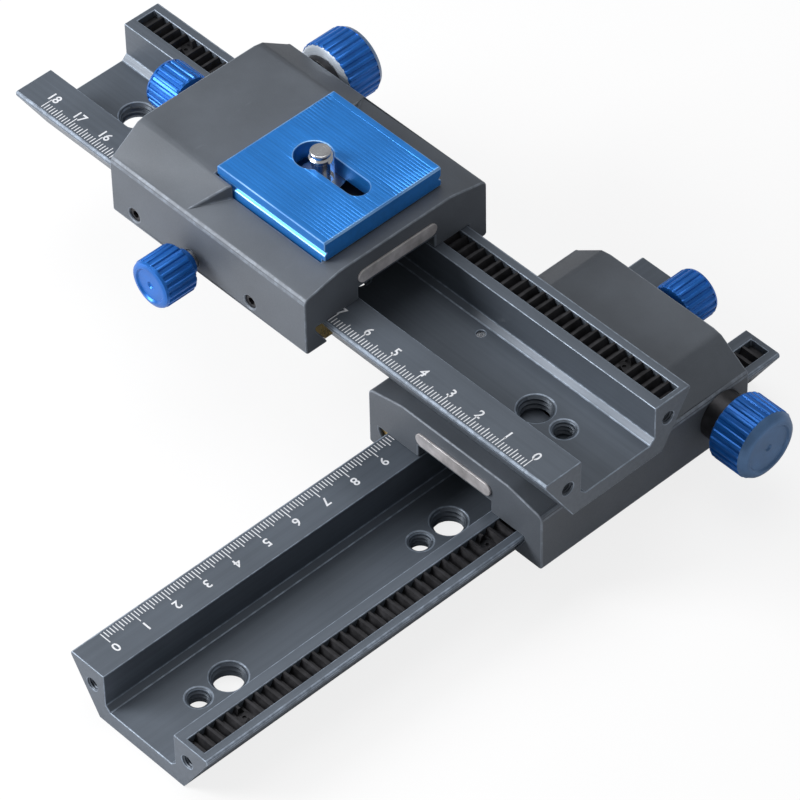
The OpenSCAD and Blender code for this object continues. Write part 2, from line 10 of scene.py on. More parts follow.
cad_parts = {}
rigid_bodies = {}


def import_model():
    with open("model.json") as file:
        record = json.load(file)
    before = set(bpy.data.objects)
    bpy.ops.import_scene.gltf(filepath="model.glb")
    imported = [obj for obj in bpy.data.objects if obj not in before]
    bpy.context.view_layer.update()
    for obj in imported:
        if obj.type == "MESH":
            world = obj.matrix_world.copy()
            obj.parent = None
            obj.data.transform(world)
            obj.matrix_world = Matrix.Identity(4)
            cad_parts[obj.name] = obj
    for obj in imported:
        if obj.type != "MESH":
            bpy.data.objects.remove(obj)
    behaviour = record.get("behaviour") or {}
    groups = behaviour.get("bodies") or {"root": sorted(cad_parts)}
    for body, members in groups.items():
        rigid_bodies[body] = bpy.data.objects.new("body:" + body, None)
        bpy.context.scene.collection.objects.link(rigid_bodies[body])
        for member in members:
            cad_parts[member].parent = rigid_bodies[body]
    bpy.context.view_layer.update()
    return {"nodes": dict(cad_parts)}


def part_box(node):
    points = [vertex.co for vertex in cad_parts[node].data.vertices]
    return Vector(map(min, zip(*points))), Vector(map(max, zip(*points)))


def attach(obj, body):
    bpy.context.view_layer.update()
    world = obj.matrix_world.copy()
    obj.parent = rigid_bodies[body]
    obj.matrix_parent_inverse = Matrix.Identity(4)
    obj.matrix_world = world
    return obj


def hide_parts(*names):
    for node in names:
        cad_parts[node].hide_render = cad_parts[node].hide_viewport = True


bl_info = {
    "name": "Focusing Rail Finishes",
    "version": (1, 0, 0),
    "blender": (4, 5, 0),
    "location": "3D View > Sidebar > Focusing Rail",
    "description": "Builds the visible pieces and finishes of a macro focusing rail",
    "category": "Object",
}

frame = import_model()
MM = 0.001
SIDES = ("lower", "upper")


# ---------- sizes and colours that a user would change ----------


def length(name, description, default):
    """A size in millimetres."""
    return bpy.props.FloatProperty(
        name=name, description=description, default=default, min=0.0, precision=3
    )


def colour(name, description, default):
    """A colour in linear light."""
    return bpy.props.FloatVectorProperty(
        name=name, description=description, default=default, subtype="COLOR", size=3, min=0.0, max=1.0
    )


def share(name, description, default):
    """A number from 0 to 1."""
    return bpy.props.FloatProperty(
        name=name, description=description, default=default, min=0.0, max=1.0, subtype="FACTOR"
    )


def number(name, description, default, kind="NONE"):
    """A number of the studio, of the kind that the panel shows."""
    return bpy.props.FloatProperty(name=name, description=description, default=default, subtype=kind)


class FocusRailSizes(bpy.types.PropertyGroup):
    """Sizes of the details that the finishing pieces add, in millimetres."""

    rail_edge: length("Rail edge", "Rounding of the rail's edges", 0.25)
    casting_edge: length("Casting edge", "Rounding of the carriage's edges", 0.45)
    plate_edge: length("Plate edge", "Rounding of the plates' edges", 0.25)
    small_edge: length("Small edge", "Rounding of the small pieces' edges", 0.12)
    thread_depth: length("Thread depth", "Depth of the tripod threads and of the camera screw's thread", 0.5)
    fine_thread_depth: length("Fine thread depth", "Depth of the end screw threads", 0.28)
    flute_depth: length("Flute depth", "Depth of the knobs' flutes", 0.42)
    rib_pitch: length("Rib pitch", "Distance between the camera plate's grooves", 1.0)
    rib_depth: length("Rib depth", "Depth of the camera plate's grooves", 0.06)
    tick_width: length("Tick width", "Width of the scale's marks", 0.27)
    numeral_height: length("Numeral height", "Height of the scale's numbers", 2.7)
    paint_height: length("Paint height", "Height of the scale's paint above the rail", 0.02)
    scale_start: length("Scale start", "Distance of the scale's zero from the rail's near end", 8.8)
    lower_numeral_inset: length("Lower numeral inset", "Lower numbers' distance from the flange's edge", 6.8)
    upper_numeral_inset: length("Upper numeral inset", "Upper numbers' distance from the flange's edge", 5.5)


class FocusRailColours(bpy.types.PropertyGroup):
    """Colours of the finishes, in linear light."""

    rail: colour("Rail", "Anodised extrusion", (0.092, 0.110, 0.136))
    casting: colour("Casting", "Painted carriage", (0.080, 0.092, 0.110))
    blue: colour("Blue", "Anodised plate", (0.022, 0.208, 0.640))
    knob: colour("Knob", "Anodised knobs", (0.010, 0.122, 0.460))
    # lighter, greyer blue than the knob body on the drive knobs' outer faces: painted light on one side of
    # the same anodising
    knob_end: colour("Knob end", "Drive knobs' outer faces", (0.075, 0.155, 0.300))
    bevel: colour("Bevel", "Drive knobs' bare inner faces", (0.66, 0.74, 0.84))
    black: colour("Black", "Black oxide steel", (0.018, 0.018, 0.020))
    steel: colour("Steel", "Bright turned steel", (0.60, 0.61, 0.63))
    brass: colour("Brass", "Machined brass", (0.66, 0.46, 0.17))
    label: colour("Label", "Pale satin label", (0.56, 0.54, 0.55))
    paint: colour("Paint", "Scale paint", (0.72, 0.74, 0.78))


class FocusRailStudio(bpy.types.PropertyGroup):
    """Camera and lamps."""

    azimuth: number("Azimuth", "Camera's turn round the object", math.radians(47.54), "ANGLE")
    elevation: number("Elevation", "Camera's height angle", math.radians(45.789), "ANGLE")
    roll: number("Roll", "Camera's turn about its own line of sight", math.radians(-1.221), "ANGLE")
    distance: number("Distance", "Camera's distance from its aim", 1.39297, "DISTANCE")
    lens: number("Lens", "Focal length in millimetres", 245.6)
    aim: bpy.props.FloatVectorProperty(
        name="Aim",
        description="Point in the middle of the picture",
        default=(-0.03102, 0.01252, 0.017),
        subtype="XYZ",
    )
    key: number("Key", "Power of the key lamp", 9.0, "POWER")
    fill: number("Fill", "Power of the top lamp", 5.0, "POWER")
    sky: share("Sky", "Strength of the surrounding light", 0.36)
    floor_glow: share("Floor glow", "How far the floor stays white where a shadow falls", 0.82)


# ---------- node building ----------


class Nodes:
    """A node tree under construction."""

    def __init__(self, tree):
        self.tree = tree
        tree.nodes.clear()

    def node(self, kind, settings=None, inputs=None):
        """Makes a node: its settings first, then the values or links of its sockets."""
        node = self.tree.nodes.new(kind)
        for name, value in (settings or {}).items():
            setattr(node, name, value)
        for name, value in (inputs or {}).items():
            self.feed(node.inputs[name], value)
        return node

    def feed(self, socket, value):
        if isinstance(value, Value):
            value = value.socket
        if isinstance(value, bpy.types.NodeSocket):
            self.tree.links.new(value, socket)
        elif socket.type == "RGBA" and len(value) == 3:
            socket.default_value = (*value, 1.0)
        else:
            socket.default_value = value

    def math(self, operation, first, second):
        return self.node("ShaderNodeMath", {"operation": operation}, {0: first, 1: second}).outputs[0]


class Value:
    """A number socket of a material, which takes part in arithmetic."""

    def __init__(self, finish, socket):
        self.finish = finish
        self.socket = socket

    def math(self, operation, first, second):
        return Value(self.finish, self.finish.math(operation, first, second))

    def __add__(self, other):
        return self.math("ADD", self, other)

    def __sub__(self, other):
        return self.math("SUBTRACT", self, other)

    def __rsub__(self, other):
        return self.math("SUBTRACT", other, self)

    def __mul__(self, other):
        return self.math("MULTIPLY", self, other)

    __radd__ = __add__
    __rmul__ = __mul__


class Finish(Nodes):
    """A material under construction."""

    def __init__(self, name):
        self.material = bpy.data.materials.new(name)
        self.material.use_nodes = True
        super().__init__(self.material.node_tree)

    def place(self, scale, centre=(0.0, 0.0, 0.0)):
        """Object coordinates, moved to a centre and stretched."""
        here = self.node("ShaderNodeTexCoord").outputs["Object"]
        for operation, amount in (("SUBTRACT", centre), ("MULTIPLY", scale)):
            step = self.node("ShaderNodeVectorMath", {"operation": operation}, {0: here, 1: amount})
            here = step.outputs[0]
        return here

    def noise(self, scale, detail, roughness=0.5):
        """Even noise, of a number of patches for each metre."""
        return self.streaks((1.0, 1.0, 1.0), detail, roughness, scale)

    def streaks(self, stretch, detail, roughness=0.5, scale=1.0):
        """Noise stretched along the axes."""
        inputs = {"Vector": self.place(stretch), "Scale": scale, "Detail": detail, "Roughness": roughness}
        return Value(self, self.node("ShaderNodeTexNoise", None, inputs).outputs["Fac"])

    def spread(self, value, low, high, to_low=0.0, to_high=1.0):
        """Stretches a range of a value to another range and stops at its ends."""
        ends = {"From Min": low, "From Max": high, "To Min": to_low, "To Max": to_high}
        node = self.node("ShaderNodeMapRange", {"clamp": True}, {"Value": value, **ends})
        return Value(self, node.outputs["Result"])

    def mix(self, factor, first, second):
        # 6, 7 and output 2 are the node's colour sockets
        inputs = {"Factor": factor, 6: first, 7: second}
        return self.node("ShaderNodeMix", {"data_type": "RGBA"}, inputs).outputs[2]

    def bump(self, height, strength, distance):
        inputs = {"Height": height, "Strength": strength, "Distance": distance}
        return self.node("ShaderNodeBump", None, inputs).outputs["Normal"]

    def surface(self, tone, roughness, metallic, normal, constants=None):
        inputs = {"Base Color": tone, "Roughness": roughness, "Metallic": metallic, "Normal": normal}
        shader = self.node("ShaderNodeBsdfPrincipled", None, {**inputs, **(constants or {})})
        self.node("ShaderNodeOutputMaterial", None, {"Surface": shader.outputs[0]})
        return self.material


def toned(base, factor):
    """A colour made lighter or darker."""
    return tuple(min(1.0, channel * factor) for channel in base)


# ---------- finishes ----------

MADE = {}


def once(name, maker, *values):
    """A finish that is made the first time it is asked for."""
    if name not in MADE:
        MADE[name] = maker(name, *values)
    return MADE[name]


def pair(name, edge_name, maker, *values):
    """The finish of a piece's broad faces, and the lighter one of its rounded edges, which holds wear and a
    painted highlight.
    """
    return [once(name, maker, *values, False), once(edge_name, maker, *values, True)]


def extruded_finish(name, base, along, wear_and_highlight):
    """Anodised extrusion: fine die lines along the rail, cloudy tone, dust and light scratches."""
    finish = Finish(name)
    fine = tuple(60.0 if axis == along else 5200.0 for axis in "XYZ")
    broad = tuple(6.0 if axis == along else 900.0 for axis in "XYZ")
    lines = finish.streaks(fine, 2.0)
    bands = finish.streaks(broad, 2.0)
    clouds = finish.noise(34.0, 4.0)
    grain = finish.noise(5200.0, 2.0)
    scratches = finish.spread(finish.streaks(broad, 6.0, 0.7, 2.3), 0.66, 0.72)
    tone = finish.spread(clouds * 0.6 + bands * 0.4, 0.3, 0.7)
    body = finish.mix(tone, toned(base, 0.84), toned(base, 1.18))
    body = finish.mix(scratches * 0.3, body, toned(base, 2.2))
    # rounded edges painted lighter all along: partly chipped wear, partly a painted highlight
    if wear_and_highlight:
        chips_and_highlight = finish.spread(finish.noise(420.0, 5.0, 0.6), 0.42, 0.62)
        body = finish.mix(chips_and_highlight * 0.55 + 0.15, toned(base, 1.5), toned(base, 3.6))
    rough = finish.spread(lines * 0.5 + clouds * 0.5, 0.3, 0.7, 0.36, 0.52)
    normal = finish.bump(lines * 0.6 + grain * 0.4, 0.35, 0.00004)
    return finish.surface(body, rough, 0.35, normal, {"IOR": 1.45})


def casting_finish(name, base, wear_and_highlight):
    """Satin paint on a casting: fine orange peel, soft cloudiness, and rounded edges painted lighter, partly
    rubbed wear and partly a painted highlight.
    """
    finish = Finish(name)
    peel = finish.noise(1900.0, 3.0, 0.55)
    grit = finish.noise(7800.0, 2.0)
    clouds = finish.noise(42.0, 5.0, 0.6)
    rubs = finish.spread(finish.streaks((260.0, 90.0, 260.0), 6.0, 0.65), 0.64, 0.74)
    body = finish.mix(finish.spread(clouds, 0.32, 0.68), toned(base, 0.86), toned(base, 1.16))
    body = finish.mix(finish.spread(grit, 0.55, 0.75) * 0.35, body, toned(base, 1.7))
    body = finish.mix(rubs * 0.25, body, toned(base, 1.8))
    # rounded edges painted lighter all along: partly rubbed wear, partly a painted highlight
    if wear_and_highlight:
        chips_and_highlight = finish.spread(finish.noise(380.0, 6.0, 0.65), 0.45, 0.65)
        body = finish.mix(chips_and_highlight * 0.5 + 0.12, toned(base, 1.4), toned(base, 3.0))
    rough = finish.spread(peel * 0.5 + clouds * 0.5, 0.3, 0.7, 0.44, 0.6)
    normal = finish.bump(peel * 0.7 + grit * 0.3, 0.45, 0.00006)
    return finish.surface(body, rough, 0.12, normal, {"IOR": 1.48})


def plate_finish(name, base, wear_and_highlight):
    """Blue anodised plate: brushed along X, with faint handling marks."""
    finish = Finish(name)
    brush = finish.streaks((90.0, 7600.0, 7600.0), 3.0)
    bands = finish.streaks((14.0, 700.0, 700.0), 3.0)
    clouds = finish.noise(60.0, 4.0)
    marks = finish.spread(finish.streaks((900.0, 240.0, 900.0), 6.0, 0.7), 0.66, 0.73)
    tone = finish.spread(bands * 0.5 + clouds * 0.5, 0.3, 0.7)
    body = finish.mix(tone, toned(base, 0.86), toned(base, 1.14))
    body = finish.mix(marks * 0.35, body, toned(base, 1.7))
    # rounded edges painted whitish blue: a painted highlight, a little uneven
    if wear_and_highlight:
        body = finish.mix(finish.spread(clouds, 0.4, 0.6) * 0.5 + 0.3, body, (0.36, 0.62, 0.92))
    rough = finish.spread(brush * 0.6 + clouds * 0.4, 0.3, 0.7, 0.27, 0.42)
    normal = finish.bump(brush, 0.3, 0.00003)
    return finish.surface(body, rough, 0.55, normal)


def turned_finish(name, base, centre, axis, metallic, rough_range):
    """Turned metal: fine rings round an axis, with a cloudy tone."""
    finish = Finish(name)
    keep = tuple(0.0 if letter == axis else 1.0 for letter in "XYZ")
    across = finish.place(keep, centre)
    radius = finish.node("ShaderNodeVectorMath", {"operation": "LENGTH"}, {0: across}).outputs["Value"]
    ringed = {"W": radius, "Scale": 5200.0, "Detail": 2.0}
    noise = finish.node("ShaderNodeTexNoise", {"noise_dimensions": "1D"}, ringed)
    rings = Value(finish, noise.outputs["Fac"])
    clouds = finish.noise(160.0, 4.0)
    grain = finish.noise(6400.0, 2.0)
    body = finish.mix(finish.spread(clouds, 0.3, 0.7), toned(base, 0.84), toned(base, 1.18))
    body = finish.mix(finish.spread(rings, 0.5, 0.8) * 0.25, body, toned(base, 1.6))
    rough = finish.spread(rings * 0.4 + clouds * 0.6, 0.3, 0.7, *rough_range)
    normal = finish.bump(rings * 0.6 + grain * 0.4, 0.3, 0.00003)
    return finish.surface(body, rough, metallic, normal)


def oxide_finish(name, base, wear_and_highlight):
    """Black oxide steel with an oily, uneven sheen."""
    finish = Finish(name)
    clouds = finish.noise(240.0, 4.0)
    grain = finish.noise(5200.0, 3.0)
    body = finish.mix(finish.spread(clouds, 0.3, 0.7), base, toned(base, 2.4))
    # rounded edges painted lighter grey: partly rubbed steel, partly a painted highlight
    if wear_and_highlight:
        body = finish.mix(finish.spread(grain, 0.45, 0.65) * 0.6, body, (0.20, 0.20, 0.21))
    rough = finish.spread(clouds, 0.3, 0.7, 0.32, 0.5)
    return finish.surface(body, rough, 0.7, finish.bump(grain, 0.3, 0.00003))


def metal_finish(name, base):
    """Machined metal with fine tool marks."""
    finish = Finish(name)
    marks = finish.streaks((3000.0, 3000.0, 500.0), 3.0)
    clouds = finish.noise(200.0, 4.0)
    body = finish.mix(finish.spread(clouds, 0.3, 0.7), toned(base, 0.8), toned(base, 1.1))
    rough = finish.spread(marks * 0.5 + clouds * 0.5, 0.3, 0.7, 0.2, 0.36)
    return finish.surface(body, rough, 1.0, finish.bump(marks, 0.35, 0.00003))


def label_finish(name, base):
    """Bare satin label: brushed, with faint stains."""
    finish = Finish(name)
    brush = finish.streaks((5200.0, 5200.0, 260.0), 3.0)
    stains = finish.noise(190.0, 5.0, 0.6)
    body = finish.mix(finish.spread(stains, 0.3, 0.7), toned(base, 0.62), toned(base, 1.25))
    rough = finish.spread(brush, 0.3, 0.7, 0.3, 0.46)
    return finish.surface(body, rough, 0.4, finish.bump(brush, 0.25, 0.00002))


def paint_finish(name, base):
    """Printed scale paint, slightly uneven."""
    finish = Finish(name)
    patches = finish.noise(1400.0, 4.0, 0.6)
    body = finish.mix(finish.spread(patches, 0.35, 0.65), toned(base, 0.8), toned(base, 1.08))
    rough = finish.spread(patches, 0.3, 0.7, 0.5, 0.65)
    return finish.surface(body, rough, 0.0, finish.bump(patches, 0.2, 0.00001))


# ---------- mesh building ----------


def colours():
    """The colours that the panel shows."""
    return bpy.context.scene.focus_rail_colours


def sizes():
    """The sizes that the panel shows, in millimetres."""
    return bpy.context.scene.focus_rail_sizes


class Slide:
    """One stage in millimetres: x across the rail, y along it from its near end, z up from its top."""

    def __init__(self, side):
        low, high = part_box(side + "_rail")
        self.side = side
        self.turned = side == "upper"
        along = (high - low).x if self.turned else (high - low).y
        across = (high - low).y if self.turned else (high - low).x
        self.rail_l = along / MM
        self.rail_w = across / MM
        self.rail_h = (high - low).z / MM
        centre = (low + high) / 2
        origin = Vector((high.x, centre.y, high.z)) if self.turned else Vector((centre.x, low.y, high.z))
        turn = math.radians(90) if self.turned else 0.0
        self.matrix = Matrix.Translation(origin) @ Matrix.Rotation(turn, 4, "Z") @ Matrix.Scale(MM, 4)
        self.along = "X" if self.turned else "Y"
        self.across = "Y" if self.turned else "X"
        self.back = self.matrix.inverted()
        self.rail_body = "cross_stage" if self.turned else "lower_rail_set"
        self.carriage_body = "upper_slider" if self.turned else "cross_stage"

    def box(self, name):
        """Lowest and highest corners of a node of this stage, in its own millimetres."""
        low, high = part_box(self.side + "_" + name)
        ends = (self.back @ low, self.back @ high)
        return Vector(tuple(map(min, *ends))), Vector(tuple(map(max, *ends)))


def linked(name, data):
    """A new object in the scene's collection."""
    item = bpy.data.objects.new(name, data)
    bpy.context.scene.collection.objects.link(item)
    return item


def put(name, mesh, materials):
    """Makes an object at the origin out of a mesh."""
    mesh.name = name
    piece = linked(name, mesh)
    mesh.materials.clear()
    for material in materials:
        mesh.materials.append(material)
    return piece


def evaluated_mesh(piece):
    """A new mesh of what a piece's modifiers or its text make."""
    bpy.context.view_layer.update()
    evaluated = piece.evaluated_get(bpy.context.evaluated_depsgraph_get())
    return bpy.data.meshes.new_from_object(evaluated)


def baked(piece):
    """Turns a piece with modifiers into a plain mesh."""
    mesh = evaluated_mesh(piece)
    old = piece.data
    piece.modifiers.clear()
    piece.data = mesh
    mesh.name = piece.name
    bpy.data.meshes.remove(old)
    return piece


def smooth(mesh, angle=math.radians(32)):
    """Smooth shading that breaks at sharp edges."""
    mesh.shade_smooth()
    mesh.set_sharp_from_angle(angle=angle)


def dress(piece, body, slot_name, *nodes):
    """Puts a finished piece on the body it rides on and hides the frame nodes it stands for; slot_name is
    not used.
    """
    if nodes:
        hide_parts(*nodes)
    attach(piece, body)
    return piece


def merged_copy(node):
    """A frame node's mesh as a working copy with its loose triangles joined."""
    work = bmesh.new()
    work.from_mesh(frame["nodes"][node].data)
    bmesh.ops.remove_doubles(work, verts=work.verts, dist=0.002 * MM)
    return work


def closed(work, name):
    """The mesh of a working copy, which is used up."""
    mesh = bpy.data.meshes.new(name)
    work.to_mesh(mesh)
    work.free()
    return mesh


def softened(node, name, width, materials, edit=None, segments=2):
    """A copy of a frame node with rounded edges; the rounding takes the second material."""
    work = merged_copy(node)
    if edit:
        edit(work)
    bmesh.ops.dissolve_limit(
        work, angle_limit=math.radians(0.4), verts=work.verts, edges=work.edges, delimit={"NORMAL"}
    )
    piece = put(name, closed(work, name), materials)
    bevel = piece.modifiers.new("edges", "BEVEL")
    bevel.width = width * MM
    bevel.segments = segments
    bevel.limit_method = "ANGLE"
    bevel.angle_limit = math.radians(24)
    bevel.use_clamp_overlap = False
    bevel.material = 1 if len(materials) > 1 else -1
    return flattened(baked(piece))


def flattened(piece, angle=math.radians(40)):
    """Smooth shading in which the broad faces keep their own direction."""
    smooth(piece.data, angle)
    weigh = piece.modifiers.new("weigh", "WEIGHTED_NORMAL")
    weigh.mode = "FACE_AREA"
    weigh.weight = 50
    weigh.keep_sharp = True
    return baked(piece)


def joined(name, pieces, materials):
    """One mesh out of several pieces, which are used up."""
    work = bmesh.new()
    for piece in pieces:
        work.from_mesh(piece.data)
        bpy.data.objects.remove(piece)
    return put(name, closed(work, name), materials)


# ---------- geometry node trees ----------


class Tree(Nodes):
    """A geometry node tree under construction."""

    def __init__(self, name, inputs):
        super().__init__(bpy.data.node_groups.new(name, "GeometryNodeTree"))
        face = self.tree.interface
        face.new_socket("Geometry", in_out="INPUT", socket_type="NodeSocketGeometry")
        self.ids = {}
        for label, kind, default in (*inputs, ("Material", "Material", None)):
            socket = face.new_socket(label, in_out="INPUT", socket_type="NodeSocket" + kind)
            if default is not None:
                socket.default_value = default
            self.ids[label] = socket.identifier
        face.new_socket("Geometry", in_out="OUTPUT", socket_type="NodeSocketGeometry")
        self.start = self.node("NodeGroupInput")

    def input(self, label):
        return self.start.outputs[label]

    def row(self, offset):
        """As many points as the tree's count, set apart by an offset."""
        line = self.node("GeometryNodeMeshLine", None, {"Count": self.input("Count"), "Offset": offset})
        return line.outputs[0]

    def finish(self, points, instance, **lay):
        """Ends the tree in copies at the points, made real and given the material."""
        inputs = {"Points": points, "Instance": instance, **lay}
        copies = self.node("GeometryNodeInstanceOnPoints", None, inputs)
        real = self.node("GeometryNodeRealizeInstances", None, {0: copies.outputs[0]})
        painted = {"Geometry": real.outputs[0], "Material": self.input("Material")}
        material = self.node("GeometryNodeSetMaterial", None, painted)
        self.node("NodeGroupOutput", None, {0: material.outputs[0]})

    def run(self, piece, values):
        """Runs the tree on a piece and leaves a plain mesh."""
        modifier = piece.modifiers.new(self.tree.name, "NODES")
        modifier.node_group = self.tree
        for label, value in values.items():
            modifier[self.ids[label]] = value
        return baked(piece)


def ring_tree():
    """Copies the piece round the Z axis."""
    tree = Tree("ring_of_copies", [("Count", "Int", 28)])
    index = tree.node("GeometryNodeInputIndex").outputs[0]
    angle = tree.math("MULTIPLY", index, tree.math("DIVIDE", math.tau, tree.input("Count")))
    turn = tree.node("ShaderNodeCombineXYZ", None, {"Z": angle})
    tree.finish(tree.row((0.0, 0.0, 0.0)), tree.input("Geometry"), Rotation=turn.outputs[0])
    return tree


def thread_tree():
    """Winds a ridge of a given pitch at each point of the piece."""
    tree = Tree(
        "thread_at_points",
        [
            ("Radius", "Float", 0.004),
            ("Ridge", "Float", 0.0005),
            ("Turns", "Float", 3.0),
            ("Height", "Float", 0.004),
            ("Turn", "Vector", None),
        ],
    )
    spiral = tree.node(
        "GeometryNodeCurveSpiral",
        None,
        {
            "Resolution": 40,
            "Rotations": tree.input("Turns"),
            "Start Radius": tree.input("Radius"),
            "End Radius": tree.input("Radius"),
            "Height": tree.input("Height"),
            "Reverse": True,
        },
    )
    upright = tree.node("GeometryNodeSetCurveNormal", {"mode": "Z_UP"}, {0: spiral.outputs[0]})
    section = {"Resolution": 4, "Radius": tree.input("Ridge")}
    profile = tree.node("GeometryNodeCurvePrimitiveCircle", None, section)
    swept = {"Curve": upright.outputs[0], "Profile Curve": profile.outputs[0], "Fill Caps": True}
    ridge = tree.node("GeometryNodeCurveToMesh", None, swept)
    tree.finish(tree.input("Geometry"), ridge.outputs[0], Rotation=tree.input("Turn"))
    return tree


def tick_tree():
    """Sets scale marks in a row along Y, longer at each fifth and tenth."""
    tree = Tree(
        "scale_marks",
        [
            ("Count", "Int", 180),
            ("Step", "Vector", (0.0, 1.0, 0.0)),
            ("Fifth", "Float", 1.5),
            ("Tenth", "Float", 2.0),
        ],
    )
    index = tree.node("GeometryNodeInputIndex").outputs[0]

    def grows(every, amount):
        here = tree.math("LESS_THAN", tree.math("MODULO", index, float(every)), 0.5)
        return tree.math("MULTIPLY", here, tree.math("SUBTRACT", amount, 1.0))

    fifth = grows(5, tree.input("Fifth"))
    tenth = grows(10, tree.input("Tenth"))
    scale = tree.math("ADD", tree.math("MAXIMUM", fifth, tenth), 1.0)
    stretch = tree.node("ShaderNodeCombineXYZ", None, {"X": scale, "Y": 1.0, "Z": 1.0})
    tree.finish(tree.row(tree.input("Step")), tree.input("Geometry"), Scale=stretch.outputs[0])
    return tree


def groove_tree():
    """Sets copies of the piece in a row, for cutting parallel grooves."""
    tree = Tree("row_of_copies", [("Count", "Int", 30), ("Step", "Vector", None)])
    tree.finish(tree.row(tree.input("Step")), tree.input("Geometry"))
    return tree


def mesh_of(name, points, faces):
    mesh = bpy.data.meshes.new(name)
    mesh.from_pydata([tuple(p) for p in points], [], faces)
    mesh.update()
    return mesh


def outward(mesh):
    """Turns a closed mesh's faces outward."""
    work = bmesh.new()
    work.from_mesh(mesh)
    bmesh.ops.recalc_face_normals(work, faces=work.faces)
    work.to_mesh(mesh)
    work.free()
    return mesh


def prism(name, corners, start, end):
    """A closed bar: a section of (x, z) corners, run along y."""
    count = len(corners)
    points = [(x, y, z) for y in (start, end) for x, z in corners]
    faces = [tuple(range(count - 1, -1, -1)), tuple(range(count, 2 * count))]
    faces += [(i, (i + 1) % count, (i + 1) % count + count, i + count) for i in range(count)]
    return outward(mesh_of(name, points, faces))


def lathed(name, outline, steps):
    """A closed turned body: an outline of (radius, height) points that starts and ends on the Z axis."""
    points, faces = [(0.0, 0.0, outline[0][1])], []
    rings = outline[1:-1]
    for radius, height in rings:
        for i in range(steps):
            angle = math.tau * i / steps
            points.append((radius * math.cos(angle), radius * math.sin(angle), height))
    points.append((0.0, 0.0, outline[-1][1]))
    last = len(points) - 1
    for i in range(steps):
        after = (i + 1) % steps
        faces.append((0, 1 + after, 1 + i))
        faces.append((last, last - steps + i, last - steps + after))
        for ring in range(len(rings) - 1):
            a, b = 1 + ring * steps, 1 + (ring + 1) * steps
            faces.append((a + i, a + after, b + after, b + i))
    return mesh_of(name, points, faces)


# ---------- operators ----------


class FOCUSRAIL_OT_rails(bpy.types.Operator):
    """Rounds the rails' edges and opens their holes for the threads"""

    bl_idname = "focus_rail.rails"
    bl_label = "Rails"

    def execute(self, context):
        for side in SIDES:
            slide = Slide(side)
            names = (side + "_rail_finish", side + "_rail_edge_finish")
            tones = pair(*names, extruded_finish, colours().rail, slide.along)

            def open_holes(work):
                for x, y, radius, depth in tripod_holes(slide):
                    spread_wall(work, slide, (x, y), radius, depth)
                for vertex in work.verts:
                    point = slide.back @ vertex.co
                    away = Vector((abs(point.x) - END_HOLE_X, 0.0, point.z + END_HOLE_DROP))
                    if abs(away.length - END_HOLE) < ON_WALL:
                        away *= (END_HOLE + sizes().fine_thread_depth) / away.length
                        side_x = math.copysign(END_HOLE_X + away.x, point.x)
                        vertex.co = slide.matrix @ Vector((side_x, point.y, away.z - END_HOLE_DROP))

            piece = softened(side + "_rail", side + "_rail_extrusion", sizes().rail_edge, tones, open_holes)
            dress(piece, slide.rail_body, "rail_anodised", side + "_rail")
        return {"FINISHED"}


# the frame's holes in millimetres: wall radii, and their places on a rail
LARGE_HOLE, SMALL_HOLE, END_HOLE = 3.97, 2.55, 1.65
END_HOLE_X, END_HOLE_DROP = 17.4, 6.3
LAST_HOLE, PAIR_GAP = 19.0, 10.0
CAMERA_SCREW = 3.175
COARSE_PITCH, CAMERA_PITCH, END_PITCH = 1.5875, 1.27, 0.7
TRIPOD_THREAD_L, END_THREAD_L = 4.5, 5.0
# how far inside a face a thread's ridge starts
THREAD_INSET = 0.1
# how far from a wall's radius a corner still counts as on it
ON_WALL = 0.06


def tripod_holes(slide):
    """(x, y, wall radius, thread depth) of the six floor holes."""
    middle = slide.rail_l / 2 + PAIR_GAP / 2
    found = []
    for y in (LAST_HOLE + PAIR_GAP, middle, slide.rail_l - LAST_HOLE):
        found.append((0.0, y, LARGE_HOLE, sizes().thread_depth))
        found.append((0.0, y - PAIR_GAP, SMALL_HOLE, sizes().thread_depth * 0.8))
    return found


def spread_wall(work, slide, centre, radius, depth):
    """Moves a hole's wall and its chamfer out by the thread's depth."""
    chamfer = 0.8
    for vertex in work.verts:
        point = slide.back @ vertex.co
        # the floor's holes lie in the rail's lower part
        if point.z > -slide.rail_h * 0.6:
            continue
        away = Vector((point.x - centre[0], point.y - centre[1], 0.0))
        for old, new in ((radius, radius + depth), (radius + chamfer, radius + chamfer + depth * 0.6)):
            if abs(away.length - old) < ON_WALL:
                moved = Vector((centre[0], centre[1], point.z)) + away.normalized() * new
                vertex.co = slide.matrix @ moved
                break


